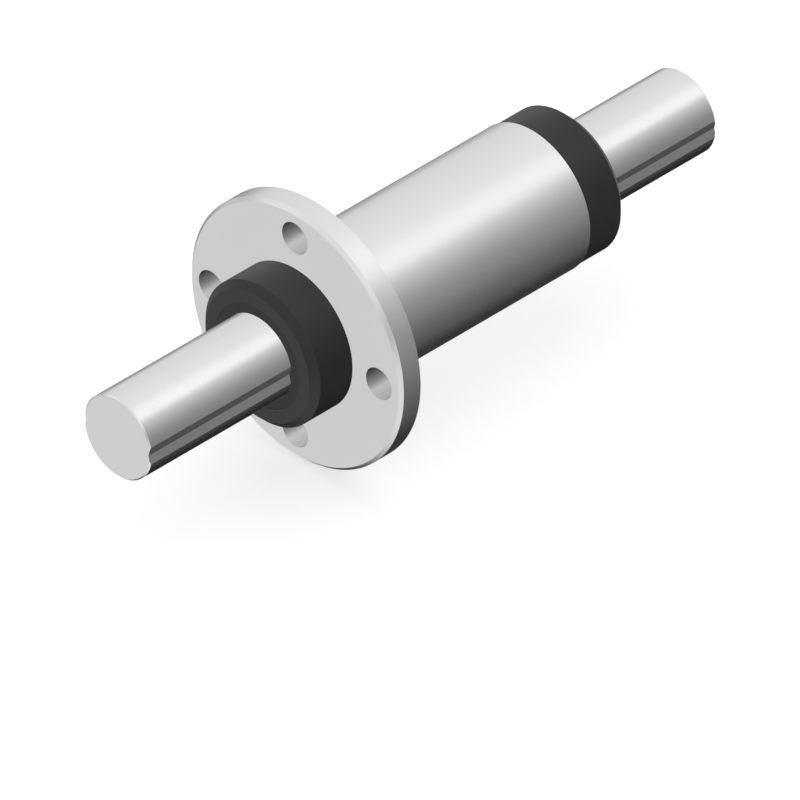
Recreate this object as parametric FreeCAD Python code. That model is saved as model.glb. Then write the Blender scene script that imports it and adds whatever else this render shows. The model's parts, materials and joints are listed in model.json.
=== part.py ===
"""Flanged ball spline: a grooved shaft that slides in a flanged nut on two circuits of balls.

Millimetres. The origin lies on the spline's axis, on the rear face of the flange, which is the face
that the nut is mounted by. +X runs along the axis towards the long end of the nut, +Z points up
through a bolt hole, and the two loaded ball rows lie at -Y (right) and +Y (left).
"""
import itertools
import math
import os

import FreeCAD
import Part

V = FreeCAD.Vector
AXIS = V(1, 0, 0)

# Shaft
SHAFT_DIAMETER = 12.0
SHAFT_LENGTH = 101.5
SHAFT_FRONT_REACH = 35.1    # from the mounting face forwards to the shaft's end, nut in its rest place
SHAFT_CHAMFER = 0.2
TRACK_WIDTH = 2.57          # across a track's edges, on the shaft's surface
TRACK_FLANK_ANGLE = 12.0    # degrees that each flank of the shallow vee leans from its chord

# Nut body
NUT_DIAMETER = 21.0
NUT_REAR_LENGTH = 39.0      # behind the mounting face, without the cap
NUT_BORE_GAP = 0.65         # between the shaft and the nut's bore, room for the retainer
FLANGE_DIAMETER = 38.0
FLANGE_THICKNESS = 3.5
FLANGE_CHAMFER = 0.5

# Bolt holes in the flange
BOLT_EDGE_DISTANCE = 4.0    # from the flange's rim to the bolt circle
BOLT_COUNT = 4
BOLT_HOLE = 4.5

# End caps
CAP_DIAMETER = 20.65
CAP_LENGTH = 6.7
CAP_CHAMFER = 1.0
CAP_WALL = 0.35             # left outside the ball passages
KEY_WIDTH = 1.6
KEY_HEIGHT = 1.2            # measured outwards from the axis
KEY_LENGTH = 5.0            # half in the nut, half in the cap
KEY_RADIUS = 8.4            # from the axis to the middle of a key
KEY_END_GAP = 0.2

# End seals
SEAL_DIAMETER = 15.0
SEAL_THICKNESS = 1.0
SEAL_DEPTH = 0.1            # from the cap's outer face to the seal
SEAL_CLEARANCE = 0.05

# Balls and their rows
BALL_DIAMETER = 2.778
GROOVE_CONFORMITY = 0.53    # radius of the nut's tracks as a share of the ball's diameter
BALL_CLEARANCE = 0.02
RETURN_RADIUS = 8.45        # from the axis to the centres of the returning balls
RETURN_ANGLE = 38.0         # degrees about the axis from the loaded row to the return row
PASSAGE_CLEARANCE = 0.13
TRACK_RELIEF_DEPTH = 0.8    # the nut's tracks widen to the passage's size near each end face
TURN_TILT = 18.0            # degrees that the end turns lean outwards, to lift balls off the shaft

# Retainer sleeve and return guides
RETAINER_GAP = 0.08         # from the shaft's surface
RETAINER_THICKNESS = 0.5
RETAINER_END_GAP = 0.05     # from each seal
SLOT_CLEARANCE = 0.04       # the slots stay narrower than the balls, which can't drop through
GUIDE_CLEARANCE = 0.02

# Worked out from the sizes above
SHAFT_RADIUS = SHAFT_DIAMETER / 2
SHAFT_FRONT = -SHAFT_FRONT_REACH
BORE_RADIUS = SHAFT_RADIUS + NUT_BORE_GAP
BOLT_CIRCLE_RADIUS = FLANGE_DIAMETER / 2 - BOLT_EDGE_DISTANCE
NUT_FRONT = -FLANGE_THICKNESS
NUT_REAR = NUT_REAR_LENGTH
BALL_RADIUS = BALL_DIAMETER / 2
FLANK_SLOPE = math.tan(math.radians(TRACK_FLANK_ANGLE))
FLANK_COSINE = math.cos(math.radians(TRACK_FLANK_ANGLE))
TRACK_ROOT = math.sqrt(SHAFT_RADIUS ** 2 - (TRACK_WIDTH / 2) ** 2) - TRACK_WIDTH / 2 * FLANK_SLOPE
ROW_RADIUS = TRACK_ROOT + (BALL_RADIUS + BALL_CLEARANCE) / FLANK_COSINE
GROOVE_RADIUS = GROOVE_CONFORMITY * BALL_DIAMETER
GROOVE_SHIFT = (GROOVE_RADIUS - BALL_RADIUS - BALL_CLEARANCE) / math.sqrt(2)
PASSAGE_RADIUS = BALL_RADIUS + PASSAGE_CLEARANCE
SEAL_SEAT = CAP_LENGTH - SEAL_DEPTH - SEAL_THICKNESS

# The right-hand circuit, as seen in a cross-section; the left-hand one is its half turn
LOAD_POINT = V(0, -ROW_RADIUS, 0)
RETURN_POINT = V(0, -math.cos(math.radians(RETURN_ANGLE)), math.sin(math.radians(RETURN_ANGLE)))
RETURN_POINT.multiply(RETURN_RADIUS)
TURN_MIDDLE = (LOAD_POINT + RETURN_POINT) * 0.5
TURN_RADIUS = (RETURN_POINT - LOAD_POINT).Length / 2
CHORD = (RETURN_POINT - LOAD_POINT).normalize()
OUTWARDS = AXIS.cross(CHORD)
if OUTWARDS.dot(TURN_MIDDLE) < 0:
    OUTWARDS = OUTWARDS * -1


def cylinder(radius, start, end, centre=V(0, 0, 0)):
    """A round bar along X from start to end, about a centre in the cross-section."""
    base = V(start, centre.y, centre.z)
    return Part.makeCylinder(radius, end - start, base, AXIS)


def revolved(outline):
    """A solid of revolution about X, from a closed outline of (x, radius) points."""
    points = [V(x, radius, 0) for x, radius in outline]
    face = Part.Face(Part.makePolygon(points + points[:1]))
    return face.revolve(V(0, 0, 0), AXIS, 360)


def half_turn(shape):
    """The same shape on the other side of the axis."""
    return shape.rotated(V(0, 0, 0), AXIS, 180)


def both_sides(shape):
    """A shape of the right-hand circuit with its left-hand twin."""
    return [shape, half_turn(shape)]


def shaft_track(start, end, clearance=0.0):
    """What lies outside the two flanks of the right-hand track, or a clearance away from them."""
    root = TRACK_ROOT + clearance / FLANK_COSINE
    flank_end = root + TRACK_WIDTH * FLANK_SLOPE
    outline = [
        V(start, -root, 0),
        V(start, -flank_end, TRACK_WIDTH),
        V(start, -SHAFT_DIAMETER, TRACK_WIDTH),
        V(start, -SHAFT_DIAMETER, -TRACK_WIDTH),
        V(start, -flank_end, -TRACK_WIDTH),
    ]
    face = Part.Face(Part.makePolygon(outline + outline[:1]))
    return face.extrude(AXIS * (end - start))


def nut_track(start, end):
    """The loaded row's pointed, two-arc track in the nut, for the right-hand row."""
    arcs = []
    for side in (-1, 1):
        centre = LOAD_POINT + V(0, GROOVE_SHIFT, side * GROOVE_SHIFT)
        arcs.append(cylinder(GROOVE_RADIUS, start, end, centre))
    return arcs[0].common(arcs[1])


def turn_axes(end):
    """Centre, forward direction and normal of the circle that the balls turn on past one end."""
    x = NUT_FRONT if end == "front" else NUT_REAR
    way = -1 if end == "front" else 1
    tilt = math.radians(TURN_TILT)
    forward = AXIS * (way * math.cos(tilt)) + OUTWARDS * math.sin(tilt)
    return V(x, 0, 0) + TURN_MIDDLE, forward, CHORD.cross(forward)


def turn_disc(end, radius, width):
    """A round disc in the plane of one end turn, beyond the nut's end face."""
    centre, forward, normal = turn_axes(end)
    disc = Part.makeCylinder(radius, width, centre - normal * (width / 2), normal)
    start = NUT_FRONT - CAP_LENGTH if end == "front" else NUT_REAR
    return disc.common(cylinder(CAP_DIAMETER / 2 - CAP_WALL, start, start + CAP_LENGTH))


def turn_passage(end):
    """The half-round channel in a cap that joins the loaded row to the return row."""
    return turn_disc(end, TURN_RADIUS + PASSAGE_RADIUS, 2 * PASSAGE_RADIUS)


def turn_point(end, angle):
    """Where a ball's centre lies in an end turn: 0 at the loaded row, pi at the return row."""
    centre, forward, normal = turn_axes(end)
    across = CHORD * (-TURN_RADIUS * math.cos(angle))
    return centre + across + forward * (TURN_RADIUS * math.sin(angle))


def spline_shaft():
    """Ground shaft with a chamfer at each end and one ball track on each side."""
    rear = SHAFT_FRONT + SHAFT_LENGTH
    bar = cylinder(SHAFT_RADIUS, SHAFT_FRONT, rear)
    rims = [edge for edge in bar.Edges if edge.Curve.TypeId == "Part::GeomCircle"]
    bar = bar.makeChamfer(SHAFT_CHAMFER, rims)
    return bar.cut(both_sides(shaft_track(SHAFT_FRONT - 1, rear + 1)))


def bolt_places():
    """Centres of the bolt holes, the first one straight up."""
    places = []
    for index in range(BOLT_COUNT):
        angle = 2 * math.pi * index / BOLT_COUNT
        places.append(V(0, math.sin(angle), math.cos(angle)) * BOLT_CIRCLE_RADIUS)
    return places


def cap_keys(end, end_gap=0.0):
    """The two keys that locate a cap on the nut, by name, or their pockets where a gap is given."""
    x = NUT_FRONT if end == "front" else NUT_REAR
    length = KEY_LENGTH + 2 * end_gap
    corner = V(x - length / 2, -KEY_WIDTH / 2, KEY_RADIUS - KEY_HEIGHT / 2)
    key = Part.makeBox(length, KEY_WIDTH, KEY_HEIGHT, corner)
    return {end + "_upper_cap_key": key, end + "_lower_cap_key": half_turn(key)}


def centred(radius, x, length, place):
    """A round bar along X whose middle is at x."""
    return cylinder(radius, x - length / 2, x + length / 2, place)


def nut_body():
    """Hardened barrel and flange in one piece, with its tracks, return bores and bolt holes."""
    barrel = NUT_DIAMETER / 2
    flange = FLANGE_DIAMETER / 2
    outline = [
        (NUT_FRONT, BORE_RADIUS),
        (NUT_FRONT, flange - FLANGE_CHAMFER),
        (NUT_FRONT + FLANGE_CHAMFER, flange),
        (0, flange),
        (0, barrel),
        (NUT_REAR, barrel),
        (NUT_REAR, BORE_RADIUS),
    ]
    cuts = both_sides(nut_track(NUT_FRONT - 1, NUT_REAR + 1))
    cuts += both_sides(cylinder(PASSAGE_RADIUS, NUT_FRONT - 1, NUT_REAR + 1, RETURN_POINT))
    for x in (NUT_FRONT, NUT_REAR):
        cuts += both_sides(centred(PASSAGE_RADIUS, x, 2 * TRACK_RELIEF_DEPTH, LOAD_POINT))
    for end in ("front", "rear"):
        cuts += cap_keys(end, KEY_END_GAP).values()
    for place in bolt_places():
        cuts.append(cylinder(BOLT_HOLE / 2, NUT_FRONT - 1, 1, place))
    return revolved(outline).cut(cuts)


def end_cap(end):
    """Moulded cap: holds the seal and the guides, and turns the balls round in its channels."""
    face = NUT_FRONT if end == "front" else NUT_REAR
    way = -1 if end == "front" else 1
    outer = CAP_DIAMETER / 2
    outline = [
        (0, BORE_RADIUS),
        (0, outer),
        (CAP_LENGTH - CAP_CHAMFER, outer),
        (CAP_LENGTH, outer - CAP_CHAMFER),
        (CAP_LENGTH, SEAL_DIAMETER / 2),
        (SEAL_SEAT, SEAL_DIAMETER / 2),
        (SEAL_SEAT, BORE_RADIUS),
    ]
    cap = revolved([(face + way * x, radius) for x, radius in outline])
    return cap.cut(both_sides(turn_passage(end)) + list(cap_keys(end, KEY_END_GAP).values()))


def end_seal(end):
    """Rubber ring in the cap's face; its lip follows the shaft and fills the ball tracks."""
    face = NUT_FRONT if end == "front" else NUT_REAR
    way = -1 if end == "front" else 1
    opening = SHAFT_RADIUS + SEAL_CLEARANCE
    start = face + way * SEAL_SEAT
    end_side = start + way * SEAL_THICKNESS
    start, end_side = min(start, end_side), max(start, end_side)
    ring = cylinder(SEAL_DIAMETER / 2, start, end_side)
    hole = cylinder(opening, start - 1, end_side + 1)
    lips = both_sides(shaft_track(start - 1, end_side + 1, SEAL_CLEARANCE))
    return ring.cut(hole.cut(lips))


def ball_retainer():
    """Thin sleeve between the seals, slotted so that the balls stay in when the shaft is out."""
    inner = SHAFT_RADIUS + RETAINER_GAP
    start = NUT_FRONT - SEAL_SEAT + RETAINER_END_GAP
    end = NUT_REAR + SEAL_SEAT - RETAINER_END_GAP
    sleeve = cylinder(inner + RETAINER_THICKNESS, start, end).cut(cylinder(inner, start, end))
    slot = cylinder(BALL_RADIUS + SLOT_CLEARANCE, NUT_FRONT, NUT_REAR, LOAD_POINT)
    windows = [slot, turn_passage("front"), turn_passage("rear")]
    return sleeve.cut(windows + [half_turn(window) for window in windows])


def return_guide(end):
    """Half-round post inside the right-hand end turn, seated on the nut's end face."""
    width = 2 * (PASSAGE_RADIUS - GUIDE_CLEARANCE)
    post = turn_disc(end, TURN_RADIUS - PASSAGE_RADIUS, width)
    return post.cut(cylinder(BORE_RADIUS, SHAFT_FRONT, SHAFT_FRONT + SHAFT_LENGTH))


def geodesic_ball(radius):
    """A ball with 60 equal flat faces and its corners on the sphere, light enough to use by the dozen."""
    golden = (1 + math.sqrt(5)) / 2
    corners = []
    for a in (-1, 1):
        for b in (-golden, golden):
            corners += [V(0, a, b), V(a, b, 0), V(b, 0, a)]
    corners = [corner.normalize() * radius for corner in corners]
    side = min((corners[0] - other).Length for other in corners[1:]) * 1.01
    centres = []
    for a, b, c in itertools.combinations(corners, 3):
        if max((a - b).Length, (b - c).Length, (c - a).Length) < side:
            centres.append((a + b + c).normalize() * radius)
    reach = min((centres[0] - other).Length for other in centres[1:]) * 1.01
    faces = []
    for a in corners:
        round_a = [centre for centre in centres if (centre - a).Length < reach]
        for b, c in itertools.combinations(round_a, 2):
            if (b - c).Length < reach:
                faces.append(Part.Face(Part.makePolygon([a, b, c, a])))
    shell = Part.makeShell(faces)
    shell.sewShape()
    ball = Part.makeSolid(shell)
    if ball.Volume < 0:
        ball.reverse()
    return ball


def ball_centres():
    """Centres of the right-hand circuit's balls, evenly spaced, by the stretch that they lie in."""
    straight = NUT_REAR - NUT_FRONT
    turn = math.pi * TURN_RADIUS
    loop = 2 * (straight + turn)
    count = int(loop // BALL_DIAMETER)
    stretches = {"load": [], "rear_turn": [], "return": [], "front_turn": []}
    for index in range(count):
        travel = (index + 0.5) * loop / count
        if travel < straight:
            stretches["load"].append(V(NUT_FRONT + travel, 0, 0) + LOAD_POINT)
        elif travel < straight + turn:
            angle = (travel - straight) / TURN_RADIUS
            stretches["rear_turn"].append(turn_point("rear", angle))
        elif travel < 2 * straight + turn:
            back = travel - straight - turn
            stretches["return"].append(V(NUT_REAR - back, 0, 0) + RETURN_POINT)
        else:
            angle = (loop - travel) / TURN_RADIUS
            stretches["front_turn"].append(turn_point("front", angle))
    return stretches


def main():
    os.makedirs("parts", exist_ok=True)
    nodes = {
        "spline_shaft": spline_shaft(),
        "flanged_nut_body": nut_body(),
        "ball_retainer": ball_retainer(),
    }
    for end in ("front", "rear"):
        nodes[end + "_end_cap"] = end_cap(end)
        nodes[end + "_end_seal"] = end_seal(end)
        nodes.update(cap_keys(end))
        nodes[end + "_right_return_guide"] = return_guide(end)
        nodes[end + "_left_return_guide"] = half_turn(return_guide(end))
    ball = geodesic_ball(BALL_RADIUS)
    for stretch, centres in ball_centres().items():
        row = Part.makeCompound([ball.translated(centre) for centre in centres])
        nodes["right_" + stretch + "_balls"] = row
        nodes["left_" + stretch + "_balls"] = half_turn(row)
    for name, shape in nodes.items():
        shape.exportStep("parts/" + name + ".step")


main()
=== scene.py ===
"""Dresses the flanged ball spline: materials, studio light and the photograph's view.

Metres, in the CAD model's frame: +X along the spline, +Z up, origin at the flange's mounting face.
"""
import json
import math

import bpy
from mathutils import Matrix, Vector


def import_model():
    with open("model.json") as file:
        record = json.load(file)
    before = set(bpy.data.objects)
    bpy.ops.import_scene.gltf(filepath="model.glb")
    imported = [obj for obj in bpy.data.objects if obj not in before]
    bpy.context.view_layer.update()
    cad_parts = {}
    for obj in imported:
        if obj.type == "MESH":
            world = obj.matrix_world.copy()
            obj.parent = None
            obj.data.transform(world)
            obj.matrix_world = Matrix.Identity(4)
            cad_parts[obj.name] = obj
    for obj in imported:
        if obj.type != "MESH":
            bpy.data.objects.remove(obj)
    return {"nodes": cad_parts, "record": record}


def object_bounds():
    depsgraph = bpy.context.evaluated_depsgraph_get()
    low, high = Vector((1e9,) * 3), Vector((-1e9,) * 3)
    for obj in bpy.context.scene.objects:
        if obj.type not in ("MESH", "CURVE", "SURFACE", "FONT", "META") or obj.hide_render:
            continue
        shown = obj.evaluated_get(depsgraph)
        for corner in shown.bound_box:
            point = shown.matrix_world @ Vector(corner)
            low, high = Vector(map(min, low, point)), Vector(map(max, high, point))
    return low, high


# The photograph's view, from the front right and above, 0.3 degrees steeper than isometric
PICTURE_PIXELS = 800
ORIGIN_PIXEL = (314.5, 323.5)   # where the mounting face meets the axis in the photograph
PIXELS_PER_METRE = 7900
VIEW_AZIMUTH = math.radians(-45.0)
VIEW_ELEVATION = math.radians(35.6)
LENS_MM = 1700.0                # so long that the view is all but parallel, as in the photograph
SENSOR_MM = 36.0
CLIP_FACTOR = 10                # the camera sees from a tenth to ten times its distance

FLOOR_GAP = 0.0005              # below the flange's lowest point
FLOOR_SIZE = 60.0
FLOOR_TONE = 0.9
FLOOR_GLOW = 0.45               # what the camera sees on top of the lit floor, to make it white

# Steel: the grain of a turned or ground piece is fine along X and long round it
ROUND_THE_AXIS = (1.0, 0.02, 0.02)
EVERY_WAY = (1.0, 1.0, 1.0)
GRAIN_STRENGTH = 0.35
BRIGHT_STEEL = (0.93, 0.93, 0.925)
STEEL_CLOUDS = 90.0             # per metre
STEEL_SPAN = (0.15, 0.85)       # the part of the cloudiness over which the tone changes
STEEL_CLOUD_SHADE = 0.96        # the darkest cloud's tone, as a share of the steel's own
LEAST_ROUGHNESS = 0.85          # in the darkest cloud, as a share of the steel's own roughness
ROUGHNESS_SPREAD = 0.3          # what lighter clouds add to that share at most

# Drilled holes: duller than the ground faces, and painted darker as shade inside them, up to just outside
# their walls
HOLE_PAINTED_SHADE_TONES = (0.56, 0.64)
HOLE_PAINTED_SHADE_SPAN = (0.3, 0.7)
DRILLED_EXTRA_ROUGHNESS = 0.12
HOLE_EDGE = (1.01, 1.03)        # where the holes' duller finish and painted shade fade out, in hole radii

# Resin and rubber
PEBBLE_STRENGTH = 0.4
RESIN_CLOUDS = 120.0            # per metre
RESIN_SPAN = (0.3, 0.7)
RESIN_ROUGHNESS_RANGE = 0.12

# The studio's light by direction. Round the spline's axis: (degrees, level), with 0 at the right-hand
# horizon (-Y), 90 overhead, 180 at +Y and 270 straight down
SIDE_LEVELS = [
    (0, 0.275), (8, 0.31), (20, 0.39), (32, 0.50), (42, 0.62), (48, 0.74), (54, 0.91), (60, 1.0),
    (76, 0.98), (95, 0.84), (125, 0.79), (172, 0.72), (181, 0.68), (193, 0.40), (222, 0.13),
    (240, 0.04), (256, 0.018), (275, 0.035), (290, 0.08), (318, 0.13), (342, 0.21), (359, 0.27),
]
# Before the flange's end: even grey below, by (place from right to left, level), then a dark horizon
# and a bright strip above it, by (height, level); places and heights run from 0 to 1
FRONT_BELOW = [(0.45, 0.78), (0.72, 0.68)]
FRONT_ABOVE = [(0.42, 0.64), (0.50, 0.45), (0.57, 0.52), (0.66, 0.80), (0.74, 0.88), (0.9, 0.70)]
# Past the rear end: a grey horizon, bright above, by (height, level)
REAR_LEVELS = [(0.36, 0.55), (0.48, 0.42), (0.60, 0.95)]
# Where these parts of the studio blend, by the direction's own Z or X
BELOW_TO_ABOVE = (-0.42, -0.15)
FRONT_TO_SIDE = (-0.35, 0.15)
SIDE_TO_REAR = (0.73, 0.80)


def view_directions():
    """Unit vectors towards the camera, to its right and up."""
    a, e = VIEW_AZIMUTH, VIEW_ELEVATION
    back = Vector((math.sin(a) * math.cos(e), -math.cos(a) * math.cos(e), math.sin(e)))
    right = Vector((math.cos(a), math.sin(a), 0.0))
    return back, right, back.cross(right)


def add_camera():
    back, right, up = view_directions()
    half = PICTURE_PIXELS / 2
    middle = right * (half - ORIGIN_PIXEL[0]) - up * (half - ORIGIN_PIXEL[1])
    middle = middle / PIXELS_PER_METRE
    width = PICTURE_PIXELS / PIXELS_PER_METRE
    distance = width * LENS_MM / SENSOR_MM
    data = bpy.data.cameras.new("camera")
    data.lens = LENS_MM
    data.sensor_width = SENSOR_MM
    data.clip_start = distance / CLIP_FACTOR
    data.clip_end = distance * CLIP_FACTOR
    camera = bpy.data.objects.new("camera", data)
    camera.location = middle + back * distance
    camera.rotation_euler = back.to_track_quat("Z", "Y").to_euler()
    bpy.context.scene.collection.objects.link(camera)
    bpy.context.scene.camera = camera


class Nodes:
    """Short calls for building one node tree."""

    def __init__(self, tree):
        self.tree = tree
        tree.nodes.clear()

    def add(self, kind, **settings):
        node = self.tree.nodes.new(kind)
        for name, value in settings.items():
            setattr(node, name, value)
        return node

    def link(self, source, target):
        self.tree.links.new(source, target)

    def math(self, operation, *values):
        node = self.add("ShaderNodeMath", operation=operation)
        for socket, value in zip(node.inputs, values):
            if isinstance(value, (int, float)):
                socket.default_value = value
            else:
                self.link(value, socket)
        return node.outputs[0]

    def ramp(self, factor, stops):
        node = self.add("ShaderNodeValToRGB")
        points = node.color_ramp.elements
        while len(points) < len(stops):
            points.new(0.5)
        for point, (place, colour) in zip(points, stops):
            point.position = place
            if isinstance(colour, (int, float)):
                colour = (colour, colour, colour)
            point.color = (*colour, 1.0)
        self.link(factor, node.inputs["Fac"])
        return node.outputs["Color"]

    def shade(self, factor, span, tones):
        """The first tone below the span, the second above it."""
        return self.ramp(factor, list(zip(span, tones)))

    def rise(self, value, start, end):
        """0 where the value is below start, 1 above end, and smooth between them."""
        node = self.add("ShaderNodeMapRange", interpolation_type="SMOOTHSTEP")
        node.inputs["From Min"].default_value = start
        node.inputs["From Max"].default_value = end
        self.link(value, node.inputs["Value"])
        return node.outputs["Result"]

    def mix(self, factor, first, second):
        """A blend of two colours; a Mix node takes those at its sockets 6 and 7."""
        node = self.add("ShaderNodeMix", data_type="RGBA")
        for source, place in ((factor, 0), (first, 6), (second, 7)):
            self.link(source, node.inputs[place])
        return node.outputs[2]

    def noise(self, scale, detail, stretch=EVERY_WAY):
        """Noise in the object's own metres; stretch gives how fine it is along each axis."""
        place = self.add("ShaderNodeTexCoord")
        mapping = self.add("ShaderNodeMapping")
        mapping.inputs["Scale"].default_value = stretch
        self.link(place.outputs["Object"], mapping.inputs["Vector"])
        noise = self.add("ShaderNodeTexNoise")
        noise.inputs["Scale"].default_value = scale
        noise.inputs["Detail"].default_value = detail
        self.link(mapping.outputs["Vector"], noise.inputs["Vector"])
        return noise.outputs["Fac"]

    def bump(self, height, strength, distance):
        node = self.add("ShaderNodeBump")
        node.inputs["Strength"].default_value = strength
        node.inputs["Distance"].default_value = distance
        self.link(height, node.inputs["Height"])
        return node.outputs["Normal"]

    def surface(self, **values):
        """A Principled shader as the material's surface, with values by socket name."""
        shader = self.add("ShaderNodeBsdfPrincipled")
        output = self.add("ShaderNodeOutputMaterial")
        self.link(shader.outputs[0], output.inputs["Surface"])
        for name, value in values.items():
            socket = shader.inputs[name.replace("_", " ")]
            if hasattr(value, "is_output"):
                self.link(value, socket)
            else:
                socket.default_value = value
        return shader


def from_hole(nodes, circle):
    """Distance from the nearest of four holes along X, at this radius round the axis on Y and Z."""
    split = nodes.add("ShaderNodeSeparateXYZ")
    nodes.link(nodes.add("ShaderNodeTexCoord").outputs["Object"], split.inputs[0])
    y, z = (nodes.math("ABSOLUTE", value) for value in split.outputs[1:])
    near = nodes.math("MINIMUM", y, z)
    far = nodes.math("SUBTRACT", nodes.math("MAXIMUM", y, z), circle)
    squares = nodes.math("ADD", nodes.math("MULTIPLY", near, near), nodes.math("MULTIPLY", far, far))
    return nodes.math("SQRT", squares)


def steel(name, tone, roughness, grain, fineness, height, metallic=1.0, holes=None):
    """Steel with fine lines, faint cloudiness and a slightly uneven polish.

    grain is the lines' direction, fineness their number per metre and height their depth in metres.
    holes gives the circle radius and hole radius of the bolt holes along X, whose walls get a duller
    finish and painted shade.
    """
    material = bpy.data.materials.new(name)
    material.use_nodes = True
    nodes = Nodes(material.node_tree)
    lines = nodes.noise(fineness, detail=4.0, stretch=grain)
    clouds = nodes.noise(STEEL_CLOUDS, detail=4.0)
    shaded = tuple(channel * STEEL_CLOUD_SHADE for channel in tone)
    colour = nodes.shade(clouds, STEEL_SPAN, (shaded, tone))
    spread, least = (roughness * share for share in (ROUGHNESS_SPREAD, LEAST_ROUGHNESS))
    polish = nodes.math("MULTIPLY_ADD", clouds, spread, least)
    if holes:
        circle, radius = holes
        start, end = (radius * share for share in HOLE_EDGE)
        outside = nodes.rise(from_hole(nodes, circle), start, end)
        # Painted shade: a darker tone on the hole walls stands in for the shade inside the holes
        painted_hole_shade = nodes.shade(clouds, HOLE_PAINTED_SHADE_SPAN, HOLE_PAINTED_SHADE_TONES)
        colour = nodes.mix(outside, painted_hole_shade, colour)
        extra = DRILLED_EXTRA_ROUGHNESS
        polish = nodes.math("SUBTRACT", polish, nodes.math("MULTIPLY_ADD", outside, extra, -extra))
    nodes.surface(
        Base_Color=colour,
        Metallic=metallic,
        Roughness=polish,
        Normal=nodes.bump(lines, GRAIN_STRENGTH, height),
    )
    return material


def resin(name, dark, light, roughness, fineness, height, specular=0.5):
    """Moulded resin or rubber: a fine pebbled skin with slight unevenness in tone and sheen."""
    material = bpy.data.materials.new(name)
    material.use_nodes = True
    nodes = Nodes(material.node_tree)
    pebbles = nodes.noise(fineness, detail=2.0)
    clouds = nodes.noise(RESIN_CLOUDS, detail=3.0)
    colour = nodes.shade(clouds, RESIN_SPAN, (dark, light))
    lowest = roughness - RESIN_ROUGHNESS_RANGE / 2
    sheen = nodes.math("MULTIPLY_ADD", clouds, RESIN_ROUGHNESS_RANGE, lowest)
    shader = nodes.surface(
        Base_Color=colour,
        Roughness=sheen,
        Normal=nodes.bump(pebbles, PEBBLE_STRENGTH, height),
    )
    shader.inputs["Specular IOR Level"].default_value = specular
    return material


def make_materials(record):
    """The finishes by material slot; the bolt holes' places, for their duller finish and painted shade,
    come from the bolt pattern's mount.
    """
    bolts = next(mount["dims"] for mount in record["mounts"] if mount["name"] == "flange_bolts")
    holes = (bolts["pcd_mm"] / 2000, bolts["hole_r_mm"] / 1000)
    steels = {  # tone, roughness, grain, fineness, height, metallic, holes
        "ground_steel": (BRIGHT_STEEL, 0.13, ROUND_THE_AXIS, 9000.0, 1.5e-6),
        "nut_steel": (BRIGHT_STEEL, 0.25, ROUND_THE_AXIS, 7000.0, 3e-6, 0.98, holes),
        "sleeve_steel": ((0.72, 0.72, 0.73), 0.28, EVERY_WAY, 3000.0, 3e-6),
        "ball_steel": ((0.86, 0.86, 0.87), 0.06, EVERY_WAY, 800.0, 5e-7),
        "key_steel": ((0.66, 0.66, 0.67), 0.25, ROUND_THE_AXIS, 5000.0, 2e-6),
    }
    resins = {  # dark tone, light tone, roughness, fineness, height, specular
        "black_resin": ((0.019,) * 3, (0.026,) * 3, 0.38, 2600.0, 1.2e-5, 0.40),
        "black_rubber": ((0.020,) * 3, (0.026,) * 3, 0.55, 3600.0, 1.6e-5, 0.38),
        "guide_resin": ((0.70, 0.67, 0.60), (0.78, 0.75, 0.68), 0.4, 2600.0, 8e-6),
    }
    materials = {slot: steel(slot, *values) for slot, values in steels.items()}
    materials.update({slot: resin(slot, *values) for slot, values in resins.items()})
    return materials


def dress_cad(frame, materials):
    """Each CAD node takes its material slot's finish; the steel mirrors the studio, not its neighbours."""
    for part in frame["record"]["subparts"]:
        piece = frame["nodes"][part["node"]]
        piece.data.materials.clear()
        piece.data.materials.append(materials[part["material_slot"]])
        piece.visible_glossy = False


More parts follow.
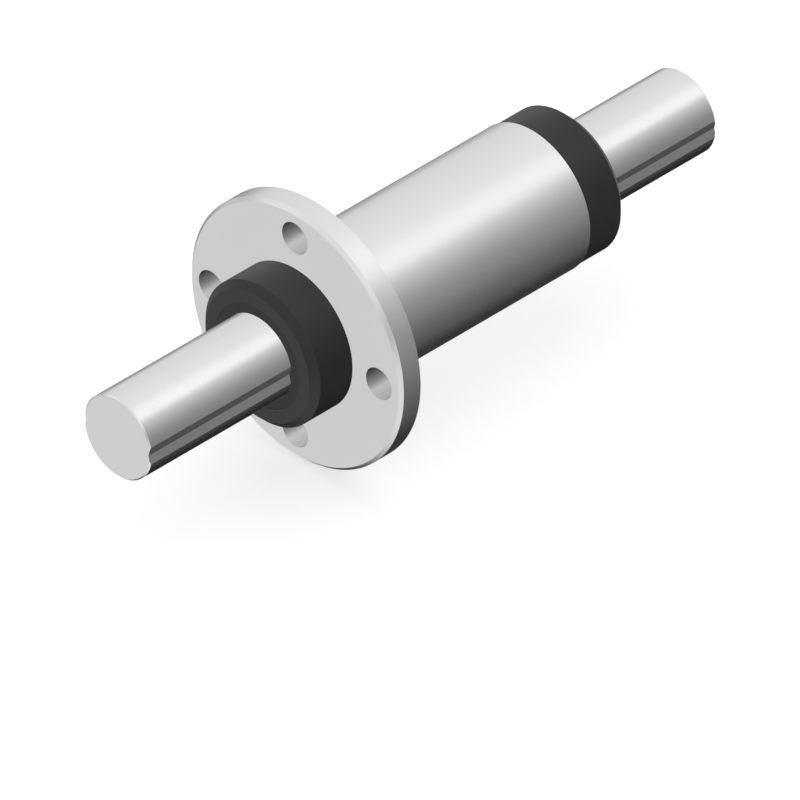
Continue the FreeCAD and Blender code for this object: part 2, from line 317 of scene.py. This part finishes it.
def studio_level(nodes):
    """How bright the studio is in each direction."""
    place = nodes.add("ShaderNodeTexCoord")
    split = nodes.add("ShaderNodeSeparateXYZ")
    nodes.link(place.outputs["Generated"], split.inputs[0])
    x, y, z = split.outputs
    turn = nodes.math("ARCTAN2", z, nodes.math("MULTIPLY", y, -1.0))
    share = nodes.math("FRACT", nodes.math("ADD", nodes.math("DIVIDE", turn, 2 * math.pi), 1.0))
    side = nodes.ramp(share, [(angle / 360, level) for angle, level in SIDE_LEVELS])
    across = nodes.math("MULTIPLY_ADD", y, 0.5, 0.5)
    below = nodes.ramp(across, FRONT_BELOW)
    height = nodes.math("MULTIPLY_ADD", z, 0.5, 0.5)
    above = nodes.ramp(height, FRONT_ABOVE)
    front = nodes.mix(nodes.rise(z, *BELOW_TO_ABOVE), below, above)
    level = nodes.mix(nodes.rise(x, *FRONT_TO_SIDE), front, side)
    rear = nodes.ramp(height, REAR_LEVELS)
    return nodes.mix(nodes.rise(x, *SIDE_TO_REAR), level, rear)


def add_world():
    """A soft studio round the part; past the floor's edge the camera sees plain white."""
    world = bpy.data.worlds.new("studio")
    bpy.context.scene.world = world
    world.use_nodes = True
    nodes = Nodes(world.node_tree)
    studio = nodes.add("ShaderNodeBackground")
    nodes.link(studio_level(nodes), studio.inputs["Color"])
    white = nodes.add("ShaderNodeBackground")
    white.inputs["Color"].default_value = (1.0, 1.0, 1.0, 1.0)
    seen = nodes.add("ShaderNodeMixShader")
    nodes.link(nodes.add("ShaderNodeLightPath").outputs["Is Camera Ray"], seen.inputs[0])
    nodes.link(studio.outputs[0], seen.inputs[1])
    nodes.link(white.outputs[0], seen.inputs[2])
    output = nodes.add("ShaderNodeOutputWorld")
    nodes.link(seen.outputs[0], output.inputs["Surface"])


def add_floor(lowest):
    """A plain pale floor that lights the part softly without showing in its polished faces."""
    half = FLOOR_SIZE / 2
    z = lowest - FLOOR_GAP
    corners = [(-half, -half, z), (half, -half, z), (half, half, z), (-half, half, z)]
    mesh = bpy.data.meshes.new("floor")
    mesh.from_pydata(corners, [], [(0, 1, 2, 3)])
    floor = bpy.data.objects.new("floor", mesh)
    bpy.context.scene.collection.objects.link(floor)
    material = bpy.data.materials.new("floor")
    material.use_nodes = True
    nodes = Nodes(material.node_tree)
    seen = nodes.add("ShaderNodeLightPath").outputs["Is Camera Ray"]
    nodes.surface(
        Base_Color=(FLOOR_TONE, FLOOR_TONE, FLOOR_TONE, 1.0),
        Roughness=0.9,
        Emission_Color=(1.0, 1.0, 1.0, 1.0),
        Emission_Strength=nodes.math("MULTIPLY", seen, FLOOR_GLOW),
    )
    mesh.materials.append(material)
    floor.visible_glossy = False


def main():
    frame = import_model()
    cad_box = [list(corner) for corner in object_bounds()]
    dress_cad(frame, make_materials(frame["record"]))
    add_world()
    add_floor(cad_box[0][2])
    add_camera()
    bpy.context.scene.view_settings.view_transform = "Standard"


main()
